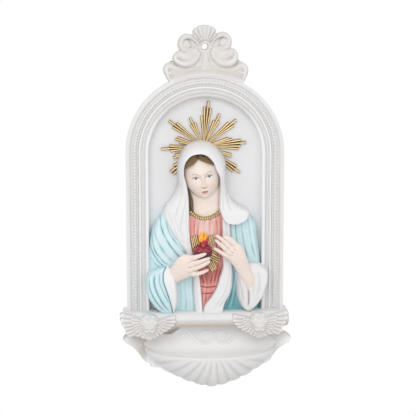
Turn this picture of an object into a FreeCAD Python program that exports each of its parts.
"""Wall-hung holy water stoup: an arched niche with a scroll crest, a bust with a sunburst,
a ledge with two cherubs and a scallop-shell basin.

Frame: +Z up, +X to the right of someone facing the stoup, the wall is the plane y = 0 and the
stoup stands out towards -Y. The origin is the axis of the hanging hole at the wall.
"Depth" is the distance from the wall, so a point at depth 10 has y = -10.
"""
import FreeCAD, Part
import Sketcher
import math
import os

doc = FreeCAD.newDocument("HolyWaterStoup")

# ---------------------------------------------------------------- driving sizes (mm, degrees)
SIZES = [
    ("fit_gap", 0.3, "clearance between curved pieces that lie on each other"),
    ("hole_bore", 5.1, "hanging hole, diameter"),
    ("hole_above_arch", 23.0, "hole axis above the top of the arch"),
    ("arch_width", 138.2, "outer width of the arched frame"),
    ("moulding_width", 19.1, "width of the frame's moulding, outer edge to niche"),
    ("leg_height", 138.3, "straight height of the frame, ledge to arch centre"),
    ("frame_depth", 15.0, "depth of the frame at its inner roll"),
    ("band_depth", 12.0, "depth of the frame at its plain outer band"),
    ("band_width", 3.4, "width of the plain outer band"),
    ("bead_seat_width", 6.4, "width of the sunk bed that carries the bead strips"),
    ("bead_width", 3.6, "width of the main bead strip"),
    ("bead_rise", 1.9, "rise of the main bead strip over its bed"),
    ("roll_width", 3.2, "width of the inner roll of the frame"),
    ("panel_thickness", 6.0, "back panel of the niche"),
    ("crest_thickness", 7.0, "plate behind the crest scrolls"),
    ("crest_span", 73.8, "width over the ears of the crest"),
    ("crest_rise", 19.4, "top of the palmette above the hole axis"),
    ("scroll_rise", 6.5, "rise of the crest scrolls over their plate"),
    ("scroll_spread", 16.2, "hole axis to the middle of an upper scroll"),
    ("ledge_length", 146.0, "ledge, end to end"),
    ("ledge_depth", 27.0, "ledge, front of the half-round"),
    ("ledge_height", 14.2, "ledge, top to underside"),
    ("figure_height", 150.6, "bust, ledge to the top of the veil"),
    ("figure_depth", 24.0, "bust, panel to the front of the veil"),
    ("halo_margin", 4.6, "top of the niche to the longest ray of the sunburst"),
    ("halo_rise", 3.4, "thickness of the sunburst rays"),
    ("cherub_left_offset", 49.0, "middle of the niche to the left cherub"),
    ("cherub_right_offset", 45.0, "middle of the niche to the right cherub"),
    ("cherub_face_width", 12.6, "cherub's face"),
    ("wing_reach", 29.5, "cherub's wing, neck to tip"),
    ("wing_rise", 5.2, "cherub's wing, thickness at the neck"),
    ("bracket_width", 136.0, "ruffled valve behind the basin, without its ears"),
    ("bracket_drop", 45.0, "ruffled valve, hinge line to lowest point"),
    ("bracket_thickness", 7.0, "ruffled valve, at the wall"),
    ("basin_offset", 4.4, "middle of the niche to the middle of the basin"),
    ("basin_width", 118.0, "basin at its lip"),
    ("basin_projection", 56.0, "wall to the front of the lip"),
    ("basin_drop", 38.0, "lip to lowest point of the basin"),
    ("basin_fullness", 1.5, "outline of the basin: 1 is a triangle, 2 an ellipse"),
    ("basin_below_ledge", 18.4, "underside of the ledge to the lip"),
    ("basin_wall", 4.5, "thickness of the basin's lip"),
    ("dish_depth", 10.0, "depth of the water dish"),
    ("flute_count", 11, "ribs of the scallop shell"),
    ("flute_rise", 1.1, "height of the shell's ribs"),
    ("flute_origin", 22.0, "lip to the point over it where the ribs meet"),
    ("volute_radius", 6.2, "small scrolls over the dish"),
]

sheet = doc.addObject("Spreadsheet::Sheet", "Sizes")
for row, (alias, value, note) in enumerate(SIZES, start=1):
    sheet.set(f"A{row}", alias)
    sheet.set(f"B{row}", str(value))
    sheet.set(f"C{row}", note)
    sheet.setAlias(f"B{row}", alias)
doc.recompute()


def size(alias):
    """The value of one cell of the sheet."""
    return float(sheet.get(alias))


# ---------------------------------------------------------------- datum levels
arch_radius = size("arch_width") / 2
niche_radius = arch_radius - size("moulding_width")
arch_level = -size("hole_above_arch") - arch_radius
ledge_top = arch_level - size("leg_height")
ledge_bottom = ledge_top - size("ledge_height")
lip_level = ledge_bottom - size("basin_below_ledge")
panel_front = size("panel_thickness")
gap = size("fit_gap")


# ---------------------------------------------------------------- geometry helpers
def at(x, z, depth):
    """A point from its place across, its height and its depth from the wall."""
    return FreeCAD.Vector(x, -depth, z)


def curve(points):
    """An edge that runs smoothly through the points."""
    spline = Part.BSplineCurve()
    spline.interpolate(points)
    return spline.toShape()


def line(start, end):
    return Part.makeLine(start, end)


def smooth_row(rows, key):
    """The row of a station table at a key, by cubic curves through the rows."""
    rows = sorted(rows)
    last = len(rows) - 1
    index = max(k for k in range(last) if rows[k][0] <= key or k == 0)
    low, high = rows[index], rows[index + 1]
    before, after = rows[max(index - 1, 0)], rows[min(index + 2, last)]
    step = high[0] - low[0]
    share = (key - low[0]) / step
    result = []
    for column in range(1, len(low)):
        slope_low = (high[column] - before[column]) / (high[0] - before[0]) * step
        slope_high = (after[column] - low[column]) / (after[0] - low[0]) * step
        result.append(
            low[column] * (2 * share ** 3 - 3 * share ** 2 + 1)
            + slope_low * (share ** 3 - 2 * share ** 2 + share)
            + high[column] * (3 * share ** 2 - 2 * share ** 3)
            + slope_high * (share ** 3 - share ** 2))
    return result


def relief_section(level, left, right, back, front, folds=0, fold_rise=0.0, phase=0.0, fullness=3.0):
    """A level slice of a relief: a flat back and a crowned front with upright folds."""
    side = 0.3 * (front - back)
    points = []
    steps = max(8, 6 * folds)
    for step in range(steps + 1):
        share = step / steps
        crown = (1 - abs(2 * share - 1) ** fullness) ** (1 / fullness)
        wave = fold_rise * math.cos(2 * math.pi * (folds * share + phase)) * min(1.0, 1.5 * crown)
        points.append(at(left + (right - left) * share, level, back + side + (front - back - side) * crown + wave))
    left_back, right_back = at(left, level, back), at(right, level, back)
    return Part.Wire([
        curve(points), line(points[-1], right_back), line(right_back, left_back), line(left_back, points[0])])


def relief(stations, back, levels, **folds):
    """A relief lofted through level slices; a station is level, left, right, front depth."""
    bottom, top = min(stations)[0], max(stations)[0]
    wires = []
    for count in range(levels):
        level = bottom + (top - bottom) * count / (levels - 1)
        left, right, front = smooth_row(stations, level)
        wires.append(relief_section(level, left, right, back, front, **folds))
    return Part.makeLoft(wires, True, False)


def ridge(path, base):
    """A half-round bar on a flat base; a path row is x, z, half width, rise over the base."""
    wires = []
    for index, (x, z, half, rise) in enumerate(path):
        ahead = path[min(index + 1, len(path) - 1)]
        behind = path[max(index - 1, 0)]
        along = math.atan2(ahead[1] - behind[1], ahead[0] - behind[0])
        across_x, across_z = -math.sin(along), math.cos(along)
        arc = []
        for step in range(7):
            angle = math.pi * step / 6
            offset = half * math.cos(angle)
            arc.append(at(x + across_x * offset, z + across_z * offset, base + rise * math.sin(angle)))
        wires.append(Part.Wire([curve(arc), line(arc[-1], arc[0])]))
    return Part.makeLoft(wires, True, False)


def fan(centre_x, centre_z, blades, base):
    """Flat-backed rays round a centre; a blade row is angle from upright, inner and outer radius,
    rise at the inner and at the outer end. Neighbouring rows are joined by straight faces."""
    wires = []
    for angle, inner, outer, inner_rise, outer_rise in blades:
        across, up = math.sin(math.radians(angle)), math.cos(math.radians(angle))
        corners = [
            at(centre_x + across * radius, centre_z + up * radius, depth)
            for radius, depth in (
                (inner, base), (inner, base + inner_rise), (outer, base + outer_rise), (outer, base))]
        wires.append(Part.makePolygon(corners + corners[:1]))
    return Part.makeLoft(wires, True, True)


def ellipsoid(centre, radii, tilt=0.0):
    """An ellipsoid from its middle and its radii along X, Y and Z, turned about the wall's normal."""
    ball = Part.makeSphere(1.0)
    shape = FreeCAD.Matrix()
    shape.scale(*radii)
    ball = ball.transformGeometry(shape)
    ball.rotate(FreeCAD.Vector(), FreeCAD.Vector(0, 1, 0), tilt)
    ball.translate(centre)
    return ball


def largest(shape):
    """The largest solid of a cut, without the slivers beside it."""
    return max(shape.Solids, key=lambda solid: solid.Volume)


def shapes_of(*labels):
    """The shapes of finished pieces, by their names."""
    return [doc.getObject(label).Shape for label in labels]


def slab(x_from, x_to, z_from, z_to, depth_from, depth_to):
    return Part.makeBox(
        x_to - x_from, depth_to - depth_from, z_to - z_from, FreeCAD.Vector(x_from, -depth_to, z_from))


def add_solid(label, shape):
    """Puts a sculpted solid into the document under its own name."""
    piece = doc.addObject("Part::Feature", label)
    piece.Label = label
    piece.Shape = shape
    piece.Placement = FreeCAD.Placement()
    return piece


# ---------------------------------------------------------------- Part Design helpers
def add_body(label):
    body = doc.addObject("PartDesign::Body", label)
    body.Label = label
    return body


def add_sketch(body, name, plane, edges, offset=None):
    """A sketch on one of the body's own origin planes, holding the given curves."""
    sketch = body.newObject("Sketcher::SketchObject", name)
    support = next(item for item in body.Origin.OriginFeatures if item.Role == plane)
    sketch.AttachmentSupport = (support, [""])
    sketch.MapMode = "FlatFace"
    if offset is not None:
        sketch.AttachmentOffset = FreeCAD.Placement(offset, FreeCAD.Rotation())
    for edge in edges:
        sketch.addGeometry(edge, False)
    return sketch


def flat(x, z):
    """A point of a sketch on the wall plane."""
    return FreeCAD.Vector(x, z, 0)


def arch_path(radius, foot):
    """Up the left leg, round the arch and down the right leg."""
    top = flat(0, arch_level)
    return [
        Part.LineSegment(flat(-radius, foot), flat(-radius, arch_level)),
        Part.ArcOfCircle(Part.Circle(top, FreeCAD.Vector(0, 0, 1), radius), 0, math.pi),
        Part.LineSegment(flat(radius, arch_level), flat(radius, foot)),
    ]


def closed_outline(points):
    return [
        Part.LineSegment(start, end)
        for start, end in zip(points, points[1:] + points[:1])]


# ---------------------------------------------------------------- niche
def make_back_panel():
    """The arched back of the niche, a plate that fills the frame's opening."""
    body = add_body("back_panel")
    radius = niche_radius - gap
    outline = arch_path(radius, ledge_top)
    outline.append(Part.LineSegment(flat(radius, ledge_top), flat(-radius, ledge_top)))
    sketch = add_sketch(body, "panel_outline", "XZ_Plane", outline)
    pad = body.newObject("PartDesign::Pad", "panel_pad")
    pad.Profile = sketch
    pad.setExpression("Length", "Sizes.panel_thickness")


def sweep_along_arch(label, section, radius):
    """A moulding carried up one leg, over the arch and down the other leg."""
    body = add_body(label)
    path = add_sketch(body, label + "_path", "XZ_Plane", arch_path(radius, ledge_top))
    outline = closed_outline([FreeCAD.Vector(x, -depth, 0) for x, depth in section])
    profile = add_sketch(body, label + "_section", "XY_Plane", outline, FreeCAD.Vector(0, 0, ledge_top))
    pipe = body.newObject("PartDesign::AdditivePipe", label + "_sweep")
    pipe.Profile = profile
    pipe.Spine = path
    pipe.Mode = "Frenet"


seat_outer = arch_radius - size("band_width") - 0.6
seat_inner = seat_outer - size("bead_seat_width")
seat_depth = size("band_depth") - 1.2
bead_radius = (seat_outer + seat_inner) / 2
roll_outer = niche_radius + size("roll_width")


def rounded(start, end, sag, steps=4):
    """Points of a shallow arc between two section corners, bulging by sag away from the wall."""
    points = []
    for step in range(steps + 1):
        share = step / steps
        points.append((
            start[0] + (end[0] - start[0]) * share,
            start[1] + (end[1] - start[1]) * share + 4 * sag * share * (1 - share)))
    return points


def make_arch_frame():
    """Plain band, sunk bead seat, fillet, hollow and inner roll, as one moulding."""
    band_depth, frame_depth = size("band_depth"), size("frame_depth")
    section = [(-arch_radius, 0.0)]
    section += rounded((-arch_radius, band_depth - 1.0), (-seat_outer, band_depth - 0.4), 0.7)
    section += [(-seat_outer, seat_depth), (-seat_inner, seat_depth)]
    section += [(-seat_inner, band_depth), (-seat_inner + 2.0, band_depth)]
    section += rounded((-seat_inner + 2.0, band_depth - 0.6), (-roll_outer, band_depth), -0.9)
    section += rounded((-roll_outer, frame_depth - 1.2), (-niche_radius, frame_depth - 1.6), 1.3)
    section += [(-niche_radius, 0.0)]
    sweep_along_arch("arch_frame", section, arch_radius)


def make_bead_strip(label, radius, width, rise):
    """A half-round strip lying on the frame's bead seat."""
    outer, inner = -radius - width / 2, -radius + width / 2
    foot = seat_depth + 0.05 * rise
    section = [(outer, seat_depth)] + rounded((outer, foot), (inner, foot), 0.95 * rise, 6) + [(inner, seat_depth)]
    sweep_along_arch(label, section, radius)


make_back_panel()
make_arch_frame()
make_bead_strip("bead_strip", bead_radius, size("bead_width"), size("bead_rise"))


# ---------------------------------------------------------------- crest
crest_front = size("crest_thickness")
ear_reach = size("crest_span") / 2
crest_scale = ear_reach / 36.9


def make_crest_plate():
    """The plate that carries the scrolls, seated on the arch, with the hanging hole."""
    spread, rise = size("scroll_spread"), size("crest_rise")
    foot = 0.87 * ear_reach
    foot_level = arch_level + math.sqrt(arch_radius ** 2 - foot ** 2)
    half = [
        (ear_reach, foot_level + 0.30 * (foot + ear_reach) / 2),
        (0.90 * ear_reach, -13.6 * crest_scale), (0.78 * ear_reach, -15.4 * crest_scale)]
    right = [flat(x, z) for x, z in half]
    body = add_body("crest_plate")
    outline = [
        Part.ArcOfCircle(
            Part.Circle(flat(0, arch_level), FreeCAD.Vector(0, 0, 1), arch_radius),
            math.acos(foot / arch_radius), math.pi - math.acos(foot / arch_radius))]
    contour = [flat(foot, foot_level)] + right + [
        flat(spread + 12.6, -9.0), flat(spread + 10.2, -1.5), flat(spread + 7.6, 5.0), flat(spread + 3.4, 11.3),
        flat(spread - 3.6, 12.0), flat(0.62 * rise, 13.4), flat(0.48 * rise, 0.79 * rise)]
    mirrored = [flat(-point.x, point.y) for point in reversed(contour)]
    contour += [flat(0, rise)] + mirrored
    spline = Part.BSplineCurve()
    spline.interpolate(contour)
    outline.append(spline)
    sketch = add_sketch(body, "crest_outline", "XZ_Plane", outline)
    pad = body.newObject("PartDesign::Pad", "crest_pad")
    pad.Profile = sketch
    pad.setExpression("Length", "Sizes.crest_thickness")
    hole = add_sketch(body, "hole_outline", "XZ_Plane", [
        Part.Circle(flat(0, 0), FreeCAD.Vector(0, 0, 1), size("hole_bore") / 2)])
    radius = hole.addConstraint(Sketcher.Constraint("Diameter", 0, size("hole_bore")))
    hole.setExpression(f"Constraints[{radius}]", "Sizes.hole_bore")
    pocket = body.newObject("PartDesign::Pocket", "hanging_hole")
    pocket.Profile = hole
    pocket.Type = 1
    pocket.Midplane = True


make_crest_plate()

def crest_ridge(label, rows, side):
    """A crest ornament on one side: rows are given for the right side and mirrored by side."""
    scale = crest_scale
    path = [(side * x * scale, z * scale, half * scale, rise * size("scroll_rise")) for x, z, half, rise in rows]
    return ridge(path, crest_front)


def make_upper_scroll(side, word):
    """A scroll that rises from beside the hole, rolls over and closes round a half ball."""
    x = size("scroll_spread")
    rows = [
        (x - 10.6, 5.2, 1.4, 0.30), (x - 8.0, 8.4, 2.0, 0.55), (x - 3.2, 11.0, 2.2, 0.80),
        (x + 2.2, 10.6, 2.3, 0.95), (x + 5.9, 6.6, 2.3, 1.00), (x + 6.0, 1.4, 2.2, 0.95),
        (x + 2.6, -1.6, 1.9, 0.80), (x - 1.6, -1.2, 1.5, 0.55), (x - 3.4, 0.8, 1.0, 0.35)]
    scroll = crest_ridge(word, rows, side)
    ball_radius = 4.4 * crest_scale
    ball = ellipsoid(at(side * x * crest_scale, 4.4 * crest_scale, crest_front),
                     (ball_radius, 0.95 * size("scroll_rise"), ball_radius))
    room = crest_front + 2 * size("scroll_rise")
    front = slab(-2 * ear_reach, 2 * ear_reach, -ear_reach, ear_reach, crest_front, room)
    add_solid("crest_upper_scroll_" + word, scroll.fuse(ball.common(front)).removeSplitter())


def make_lower_scroll(side, word):
    """The full lobe under an upper scroll, hollowed towards the middle like a leaf's edge."""
    x = size("scroll_spread")
    rows = [
        (x + 8.4, -3.2, 2.2, 0.45), (x + 8.6, -7.2, 3.2, 0.75), (x + 4.6, -11.0, 4.0, 0.95),
        (x - 1.2, -11.4, 4.2, 1.00), (x - 6.4, -9.0, 3.4, 0.85), (x - 9.6, -5.6, 2.2, 0.55),
        (x - 11.2, -3.0, 1.2, 0.30)]
    add_solid("crest_lower_scroll_" + word, crest_ridge(word, rows, side))


def make_ear(side, word):
    """The small rolled end of the crest plate above the arch."""
    rows = [
        (23.0, -19.4, 1.0, 0.15), (28.0, -18.6, 1.8, 0.30), (32.4, -17.2, 2.4, 0.45), (34.6, -20.2, 2.2, 0.45),
        (32.8, -24.2, 1.8, 0.35), (31.0, -27.0, 1.2, 0.20)]
    add_solid("crest_ear_" + word, crest_ridge(word, rows, side))


def make_palmette():
    """A seven-fluted fan that opens upwards from above the hanging hole."""
    flutes, half_angle = 7, 44.0
    reach = size("crest_rise") + 1.0
    rise = size("scroll_rise")
    blades = []
    for step in range(2 * flutes + 1):
        angle = half_angle * (step / flutes - 1)
        crown = 1 - 0.24 * (angle / half_angle) ** 2
        ridge_top = step % 2 == 1
        outer = reach * crown * (1.0 if ridge_top else 0.95) - 1.6
        blades.append((angle, 6.4, outer, 0.34 * rise, (0.62 if ridge_top else 0.34) * rise))
    scrolls = shapes_of("crest_upper_scroll_left", "crest_upper_scroll_right")
    add_solid("crest_palmette", largest(fan(0, -1.0, blades, crest_front).cut(scrolls)))


def make_crest_leaf():
    """The small pointed leaf under the hanging hole."""
    rows = [
        (0.0, -5.4, 0.7, 0.16), (0.0, -8.6, 1.5, 0.32), (0.0, -12.4, 1.9, 0.40), (0.0, -16.6, 1.2, 0.25),
        (0.0, -19.6, 0.5, 0.10)]
    add_solid("crest_leaf", crest_ridge("leaf", rows, 1))


for crest_side, crest_word in ((-1, "left"), (1, "right")):
    make_upper_scroll(crest_side, crest_word)
    make_lower_scroll(crest_side, crest_word)
    make_ear(crest_side, crest_word)
make_palmette()
make_crest_leaf()


# ---------------------------------------------------------------- ledge
def make_ledge():
    """A flat shelf with a half-round front, which closes the foot of the niche."""
    body = add_body("ledge")
    half_height = size("ledge_height") / 2
    straight = size("ledge_depth") - half_height
    middle = ledge_top - half_height
    nose = FreeCAD.Vector(straight, middle, 0)
    outline = [
        Part.LineSegment(FreeCAD.Vector(0, ledge_top, 0), FreeCAD.Vector(straight, ledge_top, 0)),
        Part.ArcOfCircle(Part.Circle(nose, FreeCAD.Vector(0, 0, 1), half_height), -math.pi / 2, math.pi / 2),
        Part.LineSegment(FreeCAD.Vector(straight, ledge_bottom, 0), FreeCAD.Vector(0, ledge_bottom, 0)),
        Part.LineSegment(FreeCAD.Vector(0, ledge_bottom, 0), FreeCAD.Vector(0, ledge_top, 0))]
    for edge in outline:
        edge.rotate(FreeCAD.Placement(FreeCAD.Vector(), FreeCAD.Rotation(FreeCAD.Vector(0, 1, 0), 180)))
    sketch = add_sketch(body, "ledge_section", "YZ_Plane", outline)
    pad = body.newObject("PartDesign::Pad", "ledge_pad")
    pad.Profile = sketch
    pad.Midplane = True
    pad.setExpression("Length", "Sizes.ledge_length")


make_ledge()


# ---------------------------------------------------------------- cherubs
face_half = size("cherub_face_width") / 2
cherub_level = ledge_bottom + 0.08 * size("cherub_face_width")
cherub_seat = size("ledge_depth") + gap


def make_cherub(offset, word):
    """A child's head with full cheeks, flat behind, that hangs on the front of the ledge."""
    def lump(across, up, out, radii):
        middle = at(offset + across * face_half, cherub_level + up * face_half, cherub_seat + out * face_half)
        return ellipsoid(middle, [radius * face_half for radius in radii])

    skull, hair = lump(0.0, 0.0, 0.35, (1.0, 1.35, 1.16)), lump(0.0, 0.55, 0.0, (1.16, 1.2, 0.95))
    nose = lump(0.0, -0.12, 1.66, (0.16, 0.2, 0.2))
    cheeks = [lump(side, -0.38, 1.1, (0.42, 0.5, 0.42)) for side in (-0.42, 0.42)]
    reach, low = 4 * face_half, cherub_level - 4 * face_half
    front = slab(offset - reach, offset + reach, low, low + 2 * reach, cherub_seat, cherub_seat + reach)
    head = skull.multiFuse([hair, nose] + cheeks).common(front)
    add_solid("cherub_head_" + word, head.removeSplitter())


def make_wing(offset, side, label):
    """Seven long feathers that fan up and out from the cherub's neck, stepped like slates."""
    feathers, upper, lower = 8, 64.0, 152.0
    reach, rise = size("wing_reach"), size("wing_rise")
    blades = []
    for count in range(feathers):
        share = count / (feathers - 1)
        angle = upper + (lower - upper) * count / feathers
        width = (lower - upper) / feathers
        length = reach * (1 - 0.58 * share ** 1.15)
        for edge, lift in ((0.04, 1.0), (0.55, 0.92), (0.96, 0.62)):
            tip = length * (0.90 if edge != 0.55 else 1.0)
            blades.append((
                side * (angle + width * edge), 1.22 * face_half, tip, rise * lift * 0.92, 0.62 * rise * lift))
    if side < 0:
        blades.reverse()
    add_solid(label, fan(offset, cherub_level - 0.55 * face_half, blades, cherub_seat))


for cherub_offset, cherub_word in ((-size("cherub_left_offset"), "left"), (size("cherub_right_offset"), "right")):
    make_cherub(cherub_offset, cherub_word)
    make_wing(cherub_offset, -1, f"cherub_{cherub_word}_wing_left")
    make_wing(cherub_offset, 1, f"cherub_{cherub_word}_wing_right")


# ---------------------------------------------------------------- shell
basin_middle = size("basin_offset")
bracket_front = size("bracket_thickness")


def edge_radius(angle, half_width, drop, fullness):
    """Distance from the middle to a shell's edge; the angle is from straight down and a fullness
    of two gives half an ellipse."""
    across, down = abs(math.sin(angle)) / half_width, abs(math.cos(angle)) / drop
    return (across ** fullness + down ** fullness) ** (-1 / fullness)


def make_bracket():
    """The valve behind the basin: an ear at each end and a ruffled lower edge."""
    half, drop = size("bracket_width") / 2, size("bracket_drop")
    hinge_x, hinge_z = basin_middle / 2, ledge_bottom - 4.6
    ear, ear_angle, ear_spread, fullness = 0.115, 86.0, 4.4, 2.2
    ruffles, steps = 1.6 * size("flute_count"), 68
    points = []
    for step in range(steps + 1):
        turn = ear_angle * (2 * step / steps - 1)
        wave = 1 + 0.016 * math.cos(ruffles * math.radians(turn))
        wave += ear * math.exp(-((ear_angle - abs(turn)) / ear_spread) ** 2)
        angle = math.radians(turn)
        radius = edge_radius(angle, half, drop, fullness) * wave
        points.append(flat(hinge_x + radius * math.sin(angle), hinge_z - radius * math.cos(angle)))
    edge = Part.BSplineCurve()
    edge.interpolate(points)
    first, last = points[0], points[-1]
    shoulder = 0.90 * half
    left_top, right_top = flat(hinge_x - shoulder, ledge_bottom), flat(hinge_x + shoulder, ledge_bottom)
    body = add_body("shell_bracket")
    sketch = add_sketch(body, "bracket_outline", "XZ_Plane", [
        edge, Part.LineSegment(last, right_top), Part.LineSegment(right_top, left_top),
        Part.LineSegment(left_top, first)])
    pad = body.newObject("PartDesign::Pad", "bracket_pad")
    pad.Profile = sketch
    pad.setExpression("Length", "Sizes.bracket_thickness")


def rib_wave(across, below):
    """Share of a rib's height at a place on the basin: the ribs run down from a point over the
    lip and fade out towards the lip."""
    origin = size("flute_origin")
    fan_angle = 2 * math.atan(size("basin_width") / 2 / origin)
    turn = math.atan2(across, origin + below) / fan_angle
    return math.cos(2 * math.pi * size("flute_count") * turn) * min(1.0, 3.6 * below / size("basin_drop"))


def basin_blade(angle, core):
    """The basin's outline in one upright plane through the middle of its lip."""
    plain = edge_radius(angle, size("basin_width") / 2, size("basin_drop"), size("basin_fullness"))
    across, down = math.sin(angle), math.cos(angle)
    edge = plain * (1 + 0.02 * rib_wave(across * plain, down * plain))
    foot, crown, rib = bracket_front + 2.2, size("basin_projection"), size("flute_rise")
    outside = []
    for share in (0.0, 0.18, 0.36, 0.54, 0.70, 0.83, 0.93, 0.985, 1.0):
        radius = core + (edge - core) * share
        dome = (1 - share ** 2.2) ** 0.5
        depth = foot + (crown - foot) * dome + rib * rib_wave(across * radius, down * radius)
        outside.append(at(basin_middle + across * radius, lip_level - down * radius, depth))
    inner = at(basin_middle + across * core, lip_level - down * core, bracket_front)
    outer = at(basin_middle + across * edge, lip_level - down * edge, bracket_front)
    return Part.Wire([
        curve(outside), line(outside[-1], outer), line(outer, inner), line(inner, outside[0])])


def make_basin():
    """The fluted shell that holds the water, with a smooth shallow dish sunk in its top."""
    steps = int(6 * size("flute_count"))
    core = 0.03 * size("basin_width")
    angles = [math.radians(-90 + 180 * step / steps) for step in range(steps + 1)]
    blades = [basin_blade(angle, core) for angle in angles]
    crown = size("basin_projection")
    hub = Part.makePolygon([
        at(basin_middle + core * math.sin(angle), lip_level - core * math.cos(angle), bracket_front)
        for angle in angles + angles[:1]])
    hub = Part.Face(hub).extrude(FreeCAD.Vector(0, bracket_front - crown, 0))
    shell = Part.makeLoft(blades, True, True).fuse(hub)
    half, reach = 0.40 * size("basin_width"), (crown - bracket_front) / 2
    dish = ellipsoid(
        at(basin_middle, lip_level, bracket_front + reach), (half, reach - size("basin_wall"), size("dish_depth")))
    add_solid("shell_basin", shell.cut(dish))


def make_volute(x, turn, radius, word):
    """A flat scroll on the wall above the dish, wound one and a half turns round a button."""
    rows = []
    steps = 15
    for step in range(steps):
        share = step / (steps - 1)
        angle = math.radians(200 - 470 * share)
        winding = radius * (1.0 - 0.62 * share)
        half = radius * (0.20 - 0.08 * share)
        rows.append((
            x + turn * winding * math.cos(angle), volute_level + winding * math.sin(angle), half, 0.30 * radius))
    add_solid("basin_volute_" + word, ridge(rows, bracket_front))


volute_level = lip_level + 0.62 * size("volute_radius")
make_bracket()
make_basin()
make_volute(basin_middle - 0.85 * size("volute_radius"), 1, 0.9 * size("volute_radius"), "left")
make_volute(basin_middle + 1.35 * size("volute_radius"), -1, 1.05 * size("volute_radius"), "right")


# ---------------------------------------------------------------- sunburst
# The bust was modelled to these full sizes: half the niche's width, the height of the veil's top
# over the ledge and the depth of the veil's front over the panel.
MODEL_HALF, MODEL_HEIGHT, MODEL_DEPTH = 50.0, 150.6, 24.0
wide = niche_radius / MODEL_HALF
tall = size("figure_height") / MODEL_HEIGHT
deep = size("figure_depth") / MODEL_DEPTH
halo_height, halo_offset = 0.947 * size("figure_height"), -0.024 * niche_radius


def figure_depth_at(depth):
    """Depth from the wall of a place on the bust, from its depth over the panel."""
    return panel_front + depth * deep


def spot(x, height, depth):
    """A point of the bust from its place across, its height on the ledge and its depth over the panel."""
    return at(x * wide, ledge_top + height * tall, figure_depth_at(depth))


def rays(bundles, rods, spread, inner, valley, rise, reach):
    """Blades for bundles of rods; a bundle is its angle and its longest rod as a share of reach."""
    blades = []
    for angle, share in bundles:
        for rod in range(rods):
            offset = (rod - (rods - 1) / 2) * spread
            length = reach * share * (1.0 if abs(offset) < 0.1 else 0.84)
            middle = angle + offset
            blades.append((middle - 0.46 * spread, inner, length * 0.985, valley, valley))
            blades.append((middle, inner, length, rise, rise * 0.8))
            blades.append((middle + 0.46 * spread, inner, length * 0.985, valley, valley))
        blades.append((angle + rods * spread / 2 + 0.4, inner, 1.5 * inner, valley, valley))
    return blades


def make_sunburst():
    """Thirteen bundles of three gilt rods, long and short by turns, behind the veil."""
    bundles = [
        (-131, 0.88), (-110, 0.68), (-93, 0.94), (-72, 0.64), (-52, 0.97), (-25, 0.70), (7, 1.00), (28, 0.80),
        (50, 0.93), (71, 0.62), (86, 0.94), (106, 0.68), (128, 0.99)]
    reach = arch_level + niche_radius - size("halo_margin") - ledge_top - halo_height
    valley = 0.32 * size("halo_rise")
    blades = rays(bundles, 3, 4.1, 0.2 * reach, valley, size("halo_rise"), reach)
    add_solid("sunburst", fan(halo_offset, ledge_top + halo_height, blades, panel_front))


make_sunburst()


# ---------------------------------------------------------------- bust
def placed(rows):
    """Station rows of the bust (height on the ledge, left, right, depth over the panel) at full size."""
    return [
        (ledge_top + height * tall, left * wide, right * wide, figure_depth_at(depth))
        for height, left, right, depth in rows]


def between(left_rows, right_rows, depth_rows):
    """Stations of a cloth that runs between two boundary lines, at the heights of its depth rows."""
    side = gap / 2 / wide
    return [
        (height, smooth_row(left_rows, height)[0] + side, smooth_row(right_rows, height)[0] - side, depth)
        for height, depth in depth_rows]


# Boundary lines between the cloths: height on the ledge and place across.
MANTLE_OUTER_LEFT = [
    (0, -37), (8, -43), (18, -48), (30, -50), (43, -49.6), (60, -48.6), (74, -46.4), (82, -42), (88, -38)]
LAPEL_OUTER_LEFT = [
    (0, -9.7), (8, -10.4), (20, -11.9), (33, -11.8), (45, -14.5), (54, -19), (66, -26.4), (77, -33), (88, -35.5)]
GOWN_LEFT = [
    (0, -2.6), (6, -2.8), (15, -3.6), (24, -4.6), (33, -5.6), (45, -8.8), (55, -11.6), (66, -13.3), (75, -15),
    (88, -14)]
GOWN_RIGHT = [
    (0, -2.2), (6, -1.6), (12, 2.7), (20.8, 7.8), (30.5, 10.7), (40.7, 13.6), (48, 13.4), (73, 13.2), (88, 14)]
LAPEL_OUTER_RIGHT = [
    (0, 14.7), (8.4, 17.3), (17, 21.6), (25, 23.4), (33, 23.8), (44, 23.1), (71, 21.6), (78, 21.3), (88, 21)]
MANTLE_OUTER_RIGHT = [
    (0, 48.5), (20, 49.2), (38, 49.2), (46, 48.6), (66, 45.5), (78, 44.6), (84, 40), (88, 36)]


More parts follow.
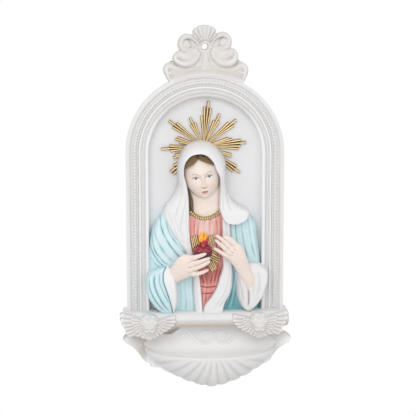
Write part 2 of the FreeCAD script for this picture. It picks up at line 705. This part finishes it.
def make_cloths():
    """The upright cloths of the bust, side by side on the panel."""
    mantle_left = between(MANTLE_OUTER_LEFT, LAPEL_OUTER_LEFT, [
        (0, 9), (10, 11), (22, 12), (33, 13.4), (42, 14.5), (54, 16), (66, 15.5), (77, 13), (88, 9)])
    mantle_right = between(LAPEL_OUTER_RIGHT, MANTLE_OUTER_RIGHT, [
        (0, 10), (10, 11.5), (22, 12.5), (34, 13.4), (44, 13.7), (56, 14), (68, 14), (78, 13.4), (88, 12)])
    lapel_left = between(LAPEL_OUTER_LEFT, GOWN_LEFT, [
        (0, 17), (10, 17.6), (22, 18), (33, 18.4), (45, 18.8), (55, 19), (66, 19), (77, 18.6), (88, 17.5)])
    lapel_right = between(GOWN_RIGHT, LAPEL_OUTER_RIGHT, [
        (0, 19.5), (6, 19.6), (12, 19.8), (21, 20), (31, 20), (41, 19.8), (50, 19.4), (73, 18.6), (88, 17.5)])
    gown = between(GOWN_LEFT, GOWN_RIGHT, [
        (6, 15.5), (12, 16.5), (21, 17.3), (31, 17.8), (41, 18), (55, 18), (70, 17.8), (86, 17.0)])
    for label, rows, levels, folds in (
            ("mantle_left", mantle_left, 12, {"folds": 4, "fold_rise": 0.9, "fullness": 2.6}),
            ("mantle_right", mantle_right, 12, {"folds": 4, "fold_rise": 0.7, "phase": 0.3, "fullness": 2.8}),
            ("lapel_left", lapel_left, 12, {"folds": 2, "fold_rise": 0.5, "fullness": 3.0}),
            ("lapel_right", lapel_right, 12, {"folds": 2, "fold_rise": 0.5, "fullness": 2.6}),
            ("gown", gown, 10, {"folds": 5, "fold_rise": 0.6, "fullness": 4.0})):
        add_solid(label, relief(placed(rows), panel_front, levels, **folds))


def make_sleeves():
    """Two wide bell sleeves that hang in front of the mantle."""
    seat = figure_depth_at(14.4)
    left = [
        (0, -40, -25.8, 21), (8, -47, -25, 24), (16, -50, -25, 26), (26, -50.2, -25.8, 26.5),
        (34, -47.5, -27.9, 24), (38.5, -39, -29.6, 19)]
    right = [
        (1.4, 35, 39, 18), (5, 31, 44, 21.5), (11, 27.6, 48.4, 22), (20, 26.4, 51.6, 22),
        (30, 27.4, 51.8, 21.5), (37.5, 26.6, 48.6, 20.8), (42, 27.6, 42, 18.5)]
    add_solid("sleeve_left", relief(placed(left), seat, 9, folds=2, fold_rise=0.8, fullness=2.4))
    add_solid("sleeve_right", relief(placed(right), seat, 10, folds=1, fold_rise=1.2, fullness=2.6))


def make_collar():
    """The veil's rounded lobe that lies folded over the right shoulder."""
    seat = figure_depth_at(14.0)
    rows = [(77, 22, 30, 19), (79.5, 18.4, 33.4, 22), (83, 15.6, 36.6, 23.4), (87.6, 14.4, 37.2, 23.4)]
    under = shapes_of("lapel_right", "mantle_right", "gown")
    add_solid("veil_lobe", largest(relief(placed(rows), seat, 6, fullness=2.4).cut(under)))


def face_opening(inset, depth_from):
    """The veil's opening as a block: half an ellipse over a tapering neck, drawn in by inset."""
    middle_x, spring = -3.1 * wide, ledge_top + 118.0 * tall
    half, rise = 15.4 * wide - inset, 21.4 * tall - inset
    foot = ledge_top + 86.0 * tall
    left_foot, right_foot = -13.6 * wide + inset, 12.6 * wide - inset
    arch = Part.Ellipse(FreeCAD.Vector(0, 0, 0), max(half, rise), min(half, rise))
    turn = FreeCAD.Rotation(FreeCAD.Vector(0, 0, 1), 90) if rise > half else FreeCAD.Rotation()
    stand = FreeCAD.Rotation(FreeCAD.Vector(1, 0, 0), 90)
    start = -math.pi / 2 if rise > half else 0.0
    edge = Part.ArcOfEllipse(arch, start, start + math.pi).toShape()
    edge.Placement = FreeCAD.Placement(at(middle_x, spring, depth_from), stand.multiply(turn))
    right, left = at(middle_x + half, spring, depth_from), at(middle_x - half, spring, depth_from)
    right_low, left_low = at(right_foot, foot, depth_from), at(left_foot, foot, depth_from)
    outline = Part.Wire(Part.__sortEdges__([
        edge, line(left, left_low), line(left_low, right_low), line(right_low, right)]))
    return Part.Face(outline).extrude(FreeCAD.Vector(0, -2 * size("figure_depth") - depth_from, 0))


def height_band(low, high, depth_from, depth_to):
    """A block over the whole niche between two heights of the bust."""
    reach = 2 * niche_radius
    return slab(-reach, reach, ledge_top + low * tall, ledge_top + high * tall, depth_from, depth_to)


def make_head():
    """Head and neck, the hair round the brow, the loose lock and the veil that frames them."""
    back, front = figure_depth_at(5.0), 4 * size("figure_depth")
    middle, tilt = spot(-2.9, 115.6, 14.6), -9.0
    radii = (14.0 * wide, 15.6 * deep, 19.6 * tall)
    top = 1.3 * MODEL_HEIGHT
    skull = ellipsoid(middle, radii, tilt)
    neck_rows = [
        (87.4, -9.8, 12.0, 13.2), (92, -9.2, 11.2, 13.0), (98, -8.4, 9.6, 13.6), (105, -7.6, 7.4, 14.6),
        (110, -6, 5, 14.6)]
    neck = relief(placed(neck_rows), back, 6, fullness=2.2)
    nose = ellipsoid(spot(-2.4, 112.4, 29.2), (1.5 * wide, 2.4 * deep, 3.6 * tall), tilt)
    flesh = skull.fuse(nose).common(height_band(0, top, back, front)).fuse(neck)
    add_solid("head", flesh.common(face_opening(gap, back)).removeSplitter())
    shell_room = ellipsoid(middle, tuple(radius + gap for radius in radii), tilt)
    hair = ellipsoid(spot(-3.1, 118.0, 12.0), (15.0 * wide, 14.4 * deep, 20.9 * tall))
    hair_line = 0.81 * MODEL_HEIGHT
    hair = hair.common(height_band(hair_line, top, back, front)).common(face_opening(gap, back)).cut(shell_room)
    add_solid("hair", largest(hair))
    lock_rows = [
        (88.4, -13.0, -10.6, 12.6), (94, -13.9, -9.9, 13.6), (102, -15.6, -9.2, 14.0), (110, -16.6, -11.4, 13.0),
        (116, -17.4, -14.8, 10.5)]
    lock = relief(placed(lock_rows), back, 6, folds=2, fold_rise=0.3)
    add_solid("hair_lock", largest(lock.common(face_opening(gap, back)).cut(shell_room)))
    halo_room = figure_depth_at(0) + size("halo_rise") + gap
    veil_rows = [
        (88.0, -37.0, 36.0, 14.0), (90, -35.6, 33.0, 15.5), (93.5, -33.0, 27.0, 17.6), (98, -29.6, 23.4, 19.6),
        (104, -26.0, 20.8, 21.4), (116, -24.3, 18.0, 23.4), (130, -23.8, 16.4, 23.8), (139, -20.4, 13.8, 21.6),
        (144, -15.6, 9.8, 18.4), (147.6, -10.4, 5.4, 15.0), (150.6, -4.0, 0.4, 10.0)]
    veil = relief(placed(veil_rows), panel_front, 22, fullness=2.3)
    halo_seat = height_band(0.65 * MODEL_HEIGHT, top, 0, halo_room)
    add_solid("veil", largest(veil.cut(halo_seat).cut(face_opening(0.0, back)).cut(neck_well(back, front))))


def neck_well(back, front):
    """Room for the bottom of the neck below the veil's opening."""
    return slab(-13.6 * wide, 12.6 * wide, ledge_top + 80 * tall, ledge_top + 90 * tall, back, front)


def trim_rows(line_rows, half, rise):
    """Rows of a bar on the bust, from places across and heights along its line."""
    return [(x * wide, ledge_top + height * tall, half * wide, rise * deep) for x, height in line_rows]


def make_trims():
    """The gilt edge of the neckline and the sash of the gown."""
    neckline = [
        (-12.8, 88.0), (-9.6, 85.2), (-5.6, 83.4), (-1.6, 82.8), (2.6, 83.4), (7.4, 85.4), (12.0, 88.2)]
    under = shapes_of("gown", "lapel_left", "lapel_right", "head", "veil")
    add_solid("neckline_trim", largest(ridge(trim_rows(neckline, 1.4, 2.6), figure_depth_at(16.4)).cut(under)))
    sash = [(-3.9, 20.0), (0.0, 19.6), (4.0, 19.6), (7.0, 20.0)]
    add_solid("sash", ridge(trim_rows(sash, 2.2, 1.0), figure_depth_at(18.1)))


def make_heart():
    """The heart on the breast with its flame, and the gilt rays behind it."""
    base = figure_depth_at(18.9)
    valley, rise = 1.0 * deep, 1.9 * deep
    bundles = [(-40, 0.62), (38, 0.72), (126, 0.90), (156, 1.0)]
    blades = [(-52, 3.0 * wide, 4.5 * wide, valley, valley)]
    blades += rays(bundles, 3, 9.0, 3.0 * wide, valley, rise, 22.0 * wide)
    add_solid("heart_rays", fan(-3.6 * wide, ledge_top + 57.4 * tall, blades, base))
    seat = base + rise + gap
    rows = [
        (48.6, -4.6, -2.6, 23.2), (51.5, -7.6, 0.6, 26.4), (56, -11.0, 3.6, 28.0), (60.2, -11.2, 3.8, 27.8),
        (62.8, -8.2, 1.6, 26.0), (64.6, -5.8, 0.4, 25.0), (67.6, -6.2, 0.2, 24.6)]
    add_solid("heart", relief(placed(rows), seat, 12, fullness=2.2))
    flame = [(68.0, -6.4, -0.4, 24.0), (70.2, -7.2, 0.6, 25.0), (72.6, -5.8, -0.2, 24.4), (75.4, -3.9, -2.6, 22.8)]
    add_solid("flame", relief(placed(flame), seat, 6, folds=2, fold_rise=0.3, fullness=2.2))


hand_sink = 2.4


def finger(knuckle, tip, radius):
    """A tapering finger from its knuckle to its round tip; points are x, height, depth."""
    start, end = [spot(x, height, depth - hand_sink) for x, height, depth in (knuckle, tip)]
    thick, thin = radius * wide, 0.72 * radius * wide
    along = end.sub(start)
    cone = Part.makeCone(thick, thin, along.Length, start, along)
    return [Part.makeSphere(thick, start), cone, Part.makeSphere(thin, end)]


def palm(stations):
    """A hand's back and wrist as a loft of ellipses; a station is x, height, depth, half width,
    half thickness, and the sections stand across the line from the wrist to the knuckles."""
    first, last = stations[0], stations[-1]
    heading = math.degrees(math.atan2(last[1] - first[1], last[0] - first[0]))
    wires = []
    for x, height, depth, half_width, half_thickness in stations:
        ring = Part.Ellipse(FreeCAD.Vector(0, 0, 0), half_width * wide, half_thickness * wide).toShape()
        # local x lies across the hand in the wall plane, local y points away from the wall
        across = FreeCAD.Vector(-math.sin(math.radians(heading)), 0, math.cos(math.radians(heading)))
        out = FreeCAD.Vector(0, -1, 0)
        along = across.cross(out)
        frame = FreeCAD.Matrix(
            across.x, out.x, along.x, 0, across.y, out.y, along.y, 0, across.z, out.z, along.z, 0, 0, 0, 0, 1)
        ring.Placement = FreeCAD.Placement(spot(x, height, depth - hand_sink), FreeCAD.Placement(frame).Rotation)
        wires.append(Part.Wire([ring]))
    return Part.makeLoft(wires, True, False)


def make_hands():
    """The hand under the heart and the hand beside it, four fingers and a thumb each."""
    make_hand("hand_left", [
        (-28.6, 37.0, 28.6, 6.3, 4.4), (-23.0, 40.6, 29.0, 6.6, 4.2), (-17.0, 44.0, 29.6, 7.8, 4.1),
        (-12.2, 47.0, 30.6, 7.6, 3.2)], [
        ((-12.6, 52.2, 31.6), (-0.6, 55.6, 31.4), 2.2), ((-11.4, 48.8, 31.8), (1.6, 51.4, 31.0), 2.25),
        ((-11.6, 45.4, 31.0), (2.2, 48.0, 29.2), 2.2), ((-12.6, 41.8, 30.0), (0.8, 42.2, 26.6), 2.0),
        ((-18.0, 50.0, 29.0), (-9.0, 55.4, 30.6), 2.0)])
    make_hand("hand_right", [
        (37.6, 27.6, 26.0, 5.0, 3.6), (34.6, 39.0, 27.4, 5.8, 4.0), (31.0, 47.6, 28.4, 6.2, 4.0),
        (25.2, 55.4, 29.0, 8.0, 3.8), (18.6, 60.6, 29.2, 7.8, 3.0)], [
        ((19.6, 66.0, 29.0), (6.4, 71.0, 25.8), 2.2), ((18.0, 62.4, 29.8), (6.6, 67.6, 26.6), 2.25),
        ((15.8, 58.6, 29.6), (5.6, 62.2, 26.2), 2.2), ((14.6, 54.6, 28.8), (7.2, 57.6, 26.0), 2.0),
        ((24.6, 62.0, 28.6), (18.0, 69.2, 27.4), 1.9)])


def make_hand(label, stations, fingers):
    """A hand fused from its palm and fingers, hollowed where it lies on what is behind it."""
    pieces = [palm(stations)]
    for knuckle, tip, radius in fingers:
        pieces += finger(knuckle, tip, radius)
    under = shapes_of(
        "sleeve_left", "sleeve_right", "gown", "lapel_left", "lapel_right", "mantle_left", "mantle_right",
        "heart", "heart_rays", "flame")
    add_solid(label, largest(pieces[0].multiFuse(pieces[1:]).cut(under)))


make_cloths()
make_sleeves()
make_collar()
make_head()
make_trims()
make_heart()
make_hands()


# ---------------------------------------------------------------- checks and export
def sub_parts():
    """The document's finished pieces: bodies and free-standing shapes."""
    return [item for item in doc.Objects if item.TypeId in ("PartDesign::Body", "Part::Feature")]


def check_document():
    """Stops if an object failed to compute or a piece has no valid shape."""
    doc.recompute()
    for item in doc.Objects:
        if "Invalid" in item.State or "Error" in item.State:
            raise RuntimeError(f"{item.Label} did not compute: {item.State}")
    for piece in sub_parts():
        if piece.Shape.isNull() or not piece.Shape.isValid() or not piece.Shape.Solids:
            raise RuntimeError(f"{piece.Label} has no valid solid")


def export_parts():
    """One STEP file for each piece, named after it."""
    os.makedirs("parts", exist_ok=True)
    for piece in sub_parts():
        piece.Shape.exportStep(f"parts/{piece.Label}.step")
        box = piece.Shape.BoundBox
        spans = [f"{low:7.1f} {high:7.1f}" for low, high in (
            (box.XMin, box.XMax), (-box.YMax, -box.YMin), (box.ZMin, box.ZMax))]
        print(f"{piece.Label:28s} {len(piece.Shape.Solids)} {piece.Shape.Volume:9.1f}", *spans)


check_document()
export_parts()
